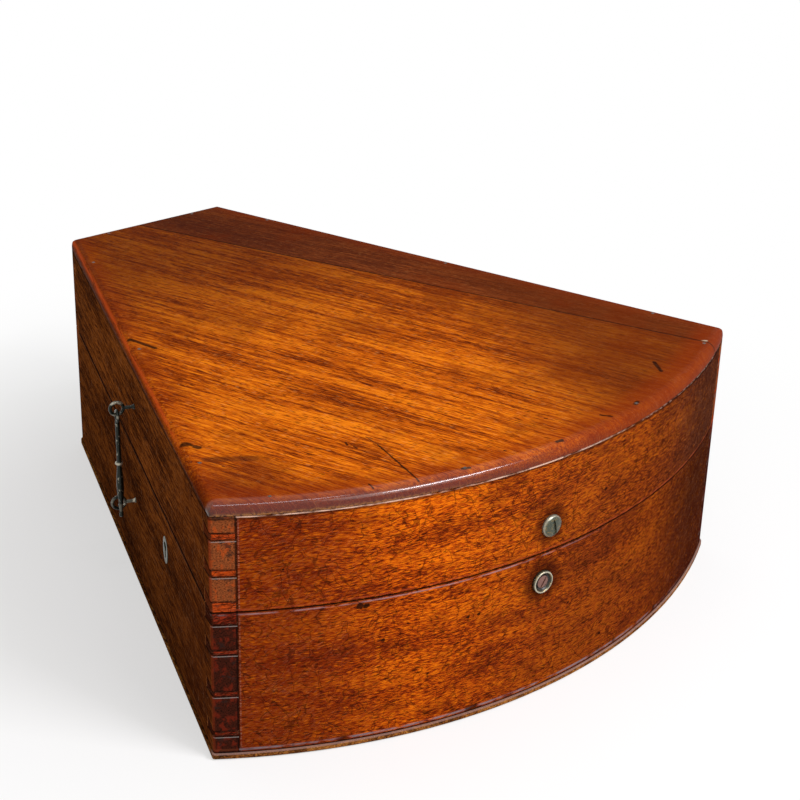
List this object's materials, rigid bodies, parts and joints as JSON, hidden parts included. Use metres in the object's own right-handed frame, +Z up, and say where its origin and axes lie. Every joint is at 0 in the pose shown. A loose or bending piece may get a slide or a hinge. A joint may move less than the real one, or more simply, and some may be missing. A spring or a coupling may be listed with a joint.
{
  "type": "octant case",
  "caption": "Wedge-shaped dovetailed wooden instrument case with a curved front, side-hinged lid, link lock, and hook and eyes.",
  "frame": {"origin": "middle of the underside", "axes": "+Z up, +Y towards the narrow end, +X towards the hinged side wall; the curved front faces -Y"},
  "size_m": [0.3197, 0.3554, 0.13],
  "materials": {
    "mahogany": "old polished mahogany",
    "mahogany_strip": "old polished mahogany, redder board",
    "base_wood": "old oiled board",
    "rest_wood": "plain unpolished mahogany",
    "brass": "aged brass, dull green-grey",
    "brass_inside": "brass kept from the air",
    "steel": "old steel",
    "baize": "green baize"
  },
  "bodies": {
    "base": {"base_board_left": "base_wood", "base_board_right": "base_wood", "base_wall_left": "mahogany", "base_wall_right": "mahogany", "base_wall_narrow": "mahogany", "base_wall_front": "mahogany", "hinge_back_base_leaf": "brass", "hinge_front_base_leaf": "brass", "hinge_back_pin": "brass", "hinge_front_pin": "brass", "hinge_base_screws": "brass_inside", "lock_plate": "brass_inside", "lock_case": "brass_inside", "lock_screws": "brass_inside", "escutcheon": "brass", "escutcheon_pins": "brass", "lower_eye": "brass", "front_cup": "brass", "front_cup_screw": "brass", "apex_rest": "rest_wood", "apex_rest_pad": "baize", "limb_rest_left": "rest_wood", "limb_rest_left_pad": "baize", "limb_rest_right": "rest_wood", "limb_rest_right_pad": "baize", "base_board_brads": "steel"},
    "lid": {"lid_board_main": "mahogany", "lid_board_strip": "mahogany_strip", "lid_wall_left": "mahogany", "lid_wall_right": "mahogany", "lid_wall_narrow": "mahogany", "lid_wall_front": "mahogany", "hinge_back_lid_leaf": "brass", "hinge_front_lid_leaf": "brass", "hinge_lid_screws": "brass_inside", "lock_link_plate": "brass_inside", "lock_link_screws": "brass_inside", "upper_eye": "brass", "front_stud": "brass", "lid_rest_left": "rest_wood", "lid_rest_left_pad": "baize", "lid_rest_right": "rest_wood", "lid_rest_right_pad": "baize", "lid_board_brads": "steel"},
    "bolt": {"lock_bolt": "brass_inside"},
    "hook": {"hook": "brass"}
  },
  "joints": [
    {"name": "lid_hinge", "type": "hinge", "parent": "base", "child": "lid", "pos_m": [0.05031, 0.1762, 0.077], "axis": [-0.3399, 0.9405, 0], "range_deg": [0, 180]},
    {"name": "hook_swing", "type": "hinge", "parent": "lid", "child": "hook", "pos_m": [-0.11559, 0.01957, 0.1004], "axis": [-0.9405, 0.3399, 0], "range_deg": [-4, 150]},
    {"name": "bolt_slide", "type": "slide", "parent": "base", "child": "bolt", "axis": [-0.3399, -0.9405, 0], "range_m": [0, 0.0045]}
  ]
}
